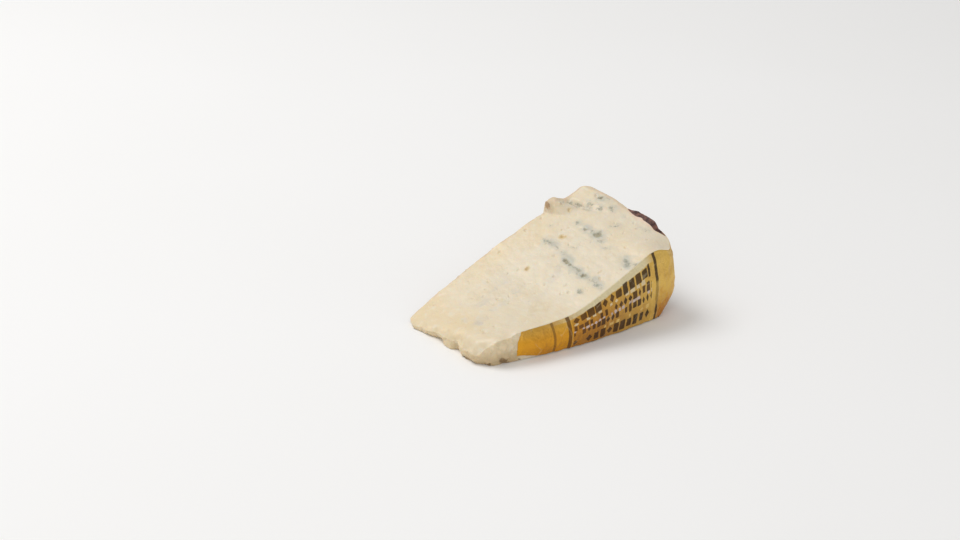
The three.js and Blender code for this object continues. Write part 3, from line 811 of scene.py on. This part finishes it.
# The paste: cream, warmer in clouds and by place, paler in spots, painted shade on crumbs and at the foot.
colour = (clouds.step(0.35, 0.7) * 0.6).mix(PASTE, PASTE_WARM)
colour = (spot.field("warm") * 0.7).mix(colour, PASTE_YELLOW)
colour = (mottle.step(0.5, 0.75) * 0.7).mix(colour, PASTE_PALE)
colour = (spot.field("crumbly") * (1 - mottle.step(0.3, 0.8) * 0.6) * 0.8).mix(colour, CRUMB_PAINTED_SHADE)
colour = (spot.field("low") * 0.75).mix(colour, FOOT_PAINTED_SHADE)
colour = ((spot.field("smear") + uneven * 0.8).step(0.05, 0.9) * 0.8).mix(colour, SMEAR)

# The mould: a haze with ragged grey patches in it and darker hearts in those.
colour = ((spot.field("haze") + uneven * 0.8).step(0.08, 0.85) * 0.75).mix(colour, HAZE)
mouldy = (spot.field("mould") + fine * 0.9 + uneven * 0.9).step(0.26, 0.72)
colour = (mouldy * 0.72).mix(colour, MOULD_GREY)
colour = ((spot.field("mould") + fine * 1.3).step(0.64, 1.0) * 0.8).mix(colour, MOULD_DARK)

# Painted shade in the hollows; eyes, the crack, the cut's borders beside the rind; stains with painted
# shadow.
colour = (spot.field("hollow") * 0.4).mix(colour, CRUMB_PAINTED_SHADE)
colour = (spot.field("eye") * 0.85).mix(colour, EYE)
colour = ((spot.field("crack") + fine * 0.7 + uneven).step(0.3, 1.1) * 0.5).mix(colour, CRACK_GREY)
colour = ((spot.field("rind_edge") + uneven * 0.8).step(0.2, 0.9) * 0.7).mix(colour, RIND_EDGE)
colour = (spot.field("pink_edge") * 0.7).mix(colour, PINK_EDGE)
colour = ((spot.field("stain_and_shadow") + uneven * 0.9 + fine * 0.6).step(0.25, 1.0) * 0.8).mix(colour, STAIN_AND_SHADOW)

# The rind: tan and grey clouds, pink blotches, brown and painted shade in its dips, pale bloom on its crests,
# dark flecks, and a shaded stretch. Then the maroon lip and the needles' holes in painted shade lie over it.
crest = spot.field("rind_crest") - 0.5
flecks = (spot.noise(0.8, 2.0) - 0.5 - crest * 0.2).step(0.06, 0.3)
rind = (clouds.step(0.35, 0.65) * 0.8).mix(RIND_TAN, RIND_GREY)
rind = ((blotches + uneven * 0.6).step(-0.05, 0.25) * 0.6).mix(rind, RIND_PINK)
rind = ((uneven * 0.9 + fine * 0.9 - crest * 0.7).step(0.0, 0.55) * 0.8).mix(rind, RIND_BROWN_AND_SHADE)
rind = ((crest * 0.5 - blotches + fine * 1.3).step(0.0, 0.55) * 0.75).mix(rind, RIND_BLOOM)
rind = (flecks * 0.45).mix(rind, RIND_BROWN_AND_SHADE)
rind = ((spot.field("shaded_rind") + uneven * 1.2).step(0.3, 0.9) * 0.7).mix(rind, RIND_SHADED)
colour = (spot.field("rind") + fine * 0.8).step(0.3, 0.7).mix(colour, rind)
maroon = (mottle + fine * 0.5).step(0.35, 0.72).mix(RIND_MAROON, RIND_REDDISH)
colour = (spot.field("dark_rind") + uneven * 0.9).step(0.25, 0.75).mix(colour, maroon)
colour = (spot.field("pricked") * 0.7).mix(colour, HOLE_PAINTED_SHADE)

# Mould, rind and crumbs are drier than the moist cut, and rougher to the touch.
dry = mouldy * 0.35 + spot.field("rind") * 0.25 + spot.field("crumbly") * 0.12
roughness = 0.42 + uneven * 0.3 + dry
grain = spot.noise(0.7, 3.0) * 0.5 + speckle * 0.5 + spot.noise(0.35, 1.0) * mouldy
grain = grain + spot.noise(2.4, 6.0) * spot.field("rind") * 7.0
bumps = spot.node("ShaderNodeBump", {}, {"Strength": 0.3, "Distance": 0.0005, "Height": grain})
connect(shader, {"Base Color": colour, "Roughness": roughness, "Normal": bumps})
cheese.data.materials.append(paste)
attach(cheese, "root")
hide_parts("cheese")


# ==== The label ====
# Thin golden foil, printed in brown, that was stuck to the drum's flat end and folded a little way round to
# its outer wall. The wire cut it along with the cheese, so its upper edge follows the upper cut.

LABEL_START = 23.0  # its cut end, measured from the tip
LABEL_WRAP = 15.0  # how far it goes on across the outer wall
LABEL_FOOT = 0.9  # how far its lower edge is from the table
LABEL_FOOT_RISE = 3.4  # and how much further it is at the cut end
LABEL_GAP = 0.1
LABEL_LIFT = 0.72  # the most that its crinkles lift it
FOIL_THICKNESS = 0.14
STATIONS = 300
LABEL_ROWS = 70


def ripple(v, size, seed):
    """Noise along one measure, in that measure's shape."""
    line = np.stack([v, 0 * v, 0 * v], axis=-1).reshape(-1, 3)
    return noise(line, size, seed).reshape(v.shape)


def label_skin():
    """The cheese's surface behind the foil, which way it faces, how far along and up the foil each point is,
    and how tall the foil is there. It runs along the near side and the wall, between two ragged edges."""
    stations = np.linspace(0, 1, STATIONS + 1)
    across, up = np.meshgrid(stations, np.linspace(0, 1, LABEL_ROWS + 1), indexing="ij")
    start = LABEL_START - 1.6 + 3.0 * smooth(0.5, 1, up) + 0.25 * ripple(up * 40, 3.0, 58)
    end = LENGTH + LABEL_WRAP - 0.9 + 0.9 * ripple(up * 40, 4.5, 59)
    along = lerp(start, end, across)
    a = np.minimum(along, LENGTH) / LENGTH
    b = np.maximum(along - LENGTH, 0) / WHEEL_HEIGHT
    top = cut_point(a, b)[..., 2]
    raised = np.where(b > 0, 0.0, LABEL_FOOT_RISE * (1 - smooth(LABEL_START, 40, along)))
    low = LABEL_FOOT + raised + 0.2 * (1 + ripple(along, 3.0, 60))
    high = top - 0.1 - 0.08 * (1 + ripple(along, 2.0, 61))
    z = lerp(low, high, up)
    level = np.clip((z - FOOT_EDGE) / (top - CUT_EDGE - FOOT_EDGE), 0, 1)
    round_edge = np.clip(1 - (top - z) / CUT_EDGE, 0, 1)
    skin = wedge_point(a, b, CUT_EDGE * (1 - np.sqrt(1 - round_edge**2)), level, z)
    out = skin - wedge_point(a, b, 1.0, level, z)
    out /= np.linalg.norm(out, axis=-1, keepdims=True)
    return skin, out, along, up, high - low


def crease(flat, size, seed):
    """Straight creases that part the foil into facets, 1 where the two nearest of a scatter of points are as
    near, and the distance to the nearest, which makes each facet a shallow dish."""
    q = flat[:, :2] / size
    cell = np.floor(q)
    distances = []
    for corner in np.ndindex(3, 3):
        c = cell + corner - 1
        n = c @ CELL_STEPS[:2]
        seedling = c + np.stack([draw(n, seed), draw(n, seed + 1)], axis=1)
        distances.append(np.linalg.norm(q - seedling, axis=1))
    nearest, next_nearest = np.sort(distances, axis=0)[:2]
    return 1 - smooth(0.0, 0.16, next_nearest - nearest), nearest


skin, out, along, up, tall = label_skin()
flat = np.stack([along, up * tall, 0 * along], axis=-1).reshape(-1, 3)

# How far it stands off the cheese: dished facets of two sizes with creases between them, pleats where it
# turns the corner, and soft puckers, all pressed down at its upper edge and at both ends.
folds, facets = crease(flat + 1.2 * noise(flat, 12.0, 75)[:, None], (9.0, 14.0), 70)
creases, small_facets = crease(flat, (4.2, 5.6), 80)
turning = share((138.0, 148.0, 160.0, 170.0), along).ravel()
pleats = (1 - abs(noise(flat, (3.4, 26.0, 1.0), 74))) ** 4 * turning
puckers = 0.1 * noise(flat, (14.0, 9.0, 1.0), 73) + 0.04 * noise(flat, 1.6, 72)
crinkle = 0.16 * folds + 0.5 * facets + 0.08 * creases + 0.3 * small_facets + 0.26 * pleats + puckers
crinkle = np.clip(crinkle, 0.0, LABEL_LIFT).reshape(along.shape)
loose = 1 - 0.92 * smooth(0.88, 0.985, up)
loose *= smooth(0.0, 3.0, along - along[0]) * smooth(0.0, 3.0, along[-1] - along)
lift = ((LABEL_GAP + crinkle) * loose + 0.03)[..., None]
inner_sheet = (skin + out * lift).reshape(-1, 3)
outer_sheet = (skin + out * (lift + FOIL_THICKNESS)).reshape(-1, 3)

index = np.arange(along.size).reshape(along.shape)
sheet_faces = grid_faces(index.T)
edge_loop = np.concatenate([index[:-1, 0], index[-1, :-1], index[:0:-1, -1], index[0, :0:-1]])
edge_faces = ring_faces(edge_loop + along.size, edge_loop)
foil_faces = np.concatenate([sheet_faces + along.size, sheet_faces[:, ::-1], edge_faces])
foil_points = np.concatenate([inner_sheet, outer_sheet]) * MM + shift
# Rubbed pale along the creases: partly wear, partly a painted highlight on their ridges.
rubbed_and_highlight = folds * smooth(-0.3, 0.5, noise(flat, 9.0, 76))
rubbed_and_highlight += 0.5 * creases * smooth(0.1, 0.6, noise(flat, 7.0, 77))
foil_fields = {"along": along.ravel(), "up": up.ravel(), "tall": tall.ravel(), "worn_and_highlight": np.clip(rubbed_and_highlight, 0, 1)}
foil_fields = {name: np.tile(values, 2) for name, values in foil_fields.items()}
label = mesh_piece("label_foil", foil_points, foil_faces, foil_fields)

GOLD = srgb(228, 188, 92)
GOLD_DEEP = srgb(222, 158, 34)
GOLD_BROWN = srgb(176, 118, 44)
GOLD_CORNER_SHADE = srgb(196, 124, 30)
GOLD_PALE = srgb(240, 226, 184)
GOLD_BRIGHT = srgb(240, 206, 124)
INK = srgb(50, 33, 14)
INK_BROWN = srgb(108, 70, 26)
CREAM = srgb(228, 210, 170)
LILAC = srgb(208, 194, 190)
# Rows of printed blocks: height of the middle and half height as shares of the foil's, distance from block
# to block, narrowest and widest half width, and the share of the places that have one.
DARK_ROWS = (
    (0.14, 0.085, 5.6, 1.7, 2.5, 0.94),
    (0.41, 0.064, 3.9, 1.0, 1.75, 0.9),
    (0.58, 0.064, 4.1, 1.0, 1.85, 0.9),
    (0.80, 0.088, 5.8, 1.8, 2.7, 0.96),
)
PALE_ROWS = (
    (0.27, 0.034, 5.3, 0.8, 1.8, 0.5, GOLD_BRIGHT),
    (0.495, 0.032, 3.3, 0.7, 1.5, 0.7, LILAC),
    (0.69, 0.034, 4.7, 0.9, 2.1, 0.6, CREAM),
)
PALE_SEED = 5
# Distances from the drum's axis: the printed field's ends, and the three lines, each with its half width.
PRINTED = (62.5, 129.0)
THIN_LINE = (48.6, 0.9)
FIRST_LINE = (60.2, 1.4)
LAST_LINE = (134.3, 1.2)

spot, shader, foil = new_material("printed_gold_foil", {"IOR": 1.5, "Metallic": 0.6})
where = spot.field("along")
height = spot.field("up")
tallness = spot.field("tall")
wear = spot.noise(2.2, 4.0)
tone = spot.noise(14, 3.0)
ragged = (wear - 0.5) * 0.3
# About the distance from the drum's axis, which is at the tip, so that the print goes round it.
ring = (where * where + height * height * tallness * tallness * 0.5).math("SQRT")
printed_field = ring.step(PRINTED[0], PRINTED[0] + 0.4) * (1 - ring.step(PRINTED[1], PRINTED[1] + 0.4))


def line(at, half_width):
    """1 on a printed line round the drum's axis at this radius."""
    return 1 - ((ring - at).math("ABSOLUTE") + ragged).step(half_width - 0.2, half_width + 0.2)


def random_of(number, seed):
    """A random number from 0 to 1 for each whole number."""
    inputs = {"W": number + seed * 100.0}
    return number.node("ShaderNodeTexWhiteNoise", {"noise_dimensions": "1D"}, inputs, output="Value")


def printed_row(seed, middle, half_height, pitch, narrow, wide, chance):
    """1 on a row of blocks that fan out from the axis: the larger of the distances across and up from a
    block's middle, and of a share of their sum, which clips some corners and makes some blocks lozenges."""
    cells = ring * (1 / pitch) + seed * 0.37
    number = cells.math("FLOOR") + seed * 50.0
    across = ((cells.math("FRACT") - 0.5) * pitch).math("ABSOLUTE") + ragged
    across = across.math("DIVIDE", random_of(number, 1) * (wide - narrow) + narrow)
    upward = ((height - middle) * tallness).math("ABSOLUTE") + ragged
    upward = upward.math("DIVIDE", tallness * half_height * (random_of(number, 2) * 0.4 + 0.8))
    corners = (across + upward) * (random_of(number, 3).math("GREATER_THAN", 0.6) * 0.4 + 0.54)
    outline = across.math("MAXIMUM", upward).math("MAXIMUM", corners)
    there = printed_field * random_of(number, 4).math("LESS_THAN", chance)
    return (1 - outline.step(0.92, 1.08)) * there


# The ground: gold, deeper to the tip and foot, orange painted shade low at the corner, brown shades, a pale
# edge.
ground = ring.step(60.0, 110.0).math("MAXIMUM", height.step(0.5, 1.0) * 0.6).mix(GOLD_DEEP, GOLD)
# Painted shade: orange on the foil's low edge from the corner on, where the wall turns under.
low_edge = 1 - (height + (tone - 0.5) * 1.1 + (wear - 0.5) * 0.3).step(0.1, 0.5)
ground = (low_edge * ring.step(131.0, 140.0) * 0.9).mix(ground, GOLD_CORNER_SHADE)
ground = (tone.step(0.45, 0.7) * 0.35).mix(ground, GOLD_BROWN)
shaded = printed_field * (1 - ring.step(80.0, 150.0)) * (1 - height.step(0.5, 1.0) * 0.6)
ground = (shaded * 0.75).mix(ground, GOLD_BROWN)
pale_edge = (height + ragged * 0.1).step(0.875, 0.905) * ring.step(40.0, 80.0)
pale_edge = pale_edge * (1 - ring.step(124.0, 136.0))
printed = (pale_edge * 0.95).mix(ground, GOLD_PALE)

# The print: pale blocks, dark blocks over them, two brown lines towards the tip, and one near the corner,
# fainter amid its height. Creases are rubbed pale and smooth, the pale partly a painted highlight on them.
for seed, (*row, row_colour) in enumerate(PALE_ROWS):
    printed = (printed_row(seed + PALE_SEED, *row) * 0.85).mix(printed, row_colour)
ink = (ring.step(66.0, 110.0) * 0.6 + tone.step(0.4, 0.6) * 0.4).mix(INK_BROWN, INK)
for seed, row in enumerate(DARK_ROWS):
    printed = (printed_row(seed, *row) * 0.92).mix(printed, ink)
printed = (line(*THIN_LINE) * 0.6).mix(printed, INK_BROWN)
printed = (line(*FIRST_LINE) * 0.85).mix(printed, INK_BROWN)
unbroken = height.step(0.55, 0.62) + (1 - height.step(0.2, 0.26))
printed = (line(*LAST_LINE) * (unbroken * 0.45 + 0.45)).mix(printed, INK)
worn_and_highlight = (spot.field("worn_and_highlight") + (wear - 0.5)).step(0.5, 1.0)
printed = (worn_and_highlight * 0.16).mix(printed, GOLD_PALE)
crumpled = spot.noise(4, 4.0) + spot.noise(1.4, 3.0) * 0.4
bumps = spot.node("ShaderNodeBump", {}, {"Strength": 0.7, "Distance": 0.0014, "Height": crumpled})
connect(shader, {"Base Color": printed, "Roughness": 0.3 + wear * 0.2 - worn_and_highlight * 0.08, "Normal": bumps})
label.data.materials.append(foil)
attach(label, "root")
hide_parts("label")


# ==== The floor, the light and the camera ====
# A plain pale table top that runs out of sight, a large soft lamp above and behind on the left, a weaker one
# in front, and a bright room. The camera looks down a little at the wedge's labelled side.

FLOOR_SIZE = 6.0
TABLE_TOP = srgb(246, 245, 243)
TABLE_TOP_LIGHT = srgb(250, 249, 248)
corners = [(-1, -1), (1, -1), (1, 1), (-1, 1)]
floor_points = [(side_x * FLOOR_SIZE / 2, side_y * FLOOR_SIZE / 2, 0) for side_x, side_y in corners]
floor_mesh = bpy.data.meshes.new("floor")
floor_mesh.from_pydata(floor_points, [], [(0, 1, 2, 3)])
floor = bpy.data.objects.new("floor", floor_mesh)
bpy.context.scene.collection.objects.link(floor)
spot, shader, table_top = new_material("pale_table_top", {"Roughness": 0.7})
connect(shader, {"Base Color": spot.noise(400, 2.0).mix(TABLE_TOP, TABLE_TOP_LIGHT)})
floor_mesh.materials.append(table_top)


def lamp(name, place, aim, size, power):
    """A square area lamp at a place, turned to its aim."""
    data = bpy.data.lights.new(name, "AREA")
    data.size = size
    data.energy = power
    made = bpy.data.objects.new(name, data)
    made.location = place
    made.rotation_euler = (Vector(aim) - Vector(place)).to_track_quat("-Z", "Y").to_euler()
    bpy.context.scene.collection.objects.link(made)


MIDDLE = (0.0, 0.0, 0.02)
ROOM_BRIGHTNESS = 0.5
lamp("key", (-0.6, 1.25, 2.0), MIDDLE, 1.3, 28)
lamp("fill", (-1.3, -1.4, 1.3), MIDDLE, 1.6, 10)
world = bpy.data.worlds.new("room")
world.use_nodes = True
world.node_tree.nodes["Background"].inputs["Color"].default_value = (1.0, 1.0, 1.0, 1.0)
world.node_tree.nodes["Background"].inputs["Strength"].default_value = ROOM_BRIGHTNESS
bpy.context.scene.world = world
bpy.context.scene.view_settings.view_transform = "Standard"

AZIMUTH = math.radians(-37.93)
ELEVATION = math.radians(22.0)
ROLL = math.radians(1.0)
DISTANCE = 1.53
AIM = Vector((0.0171, 0.0900, 0.0))
LENS = 85.0
SENSOR = 36.0
backward = Vector(
    (
        math.sin(AZIMUTH) * math.cos(ELEVATION),
        -math.cos(AZIMUTH) * math.cos(ELEVATION),
        math.sin(ELEVATION),
    )
)
rightward = Vector((math.cos(AZIMUTH), math.sin(AZIMUTH), 0.0))
axes = Matrix((rightward, backward.cross(rightward), backward)).transposed() @ Matrix.Rotation(ROLL, 3, "Z")
camera_data = bpy.data.cameras.new("camera")
camera_data.lens = LENS
camera_data.sensor_width = SENSOR
camera_data.clip_start = 0.05
camera = bpy.data.objects.new("camera", camera_data)
camera.matrix_world = Matrix.Translation(AIM + backward * DISTANCE) @ axes.to_4x4()
bpy.context.scene.collection.objects.link(camera)
bpy.context.scene.camera = camera
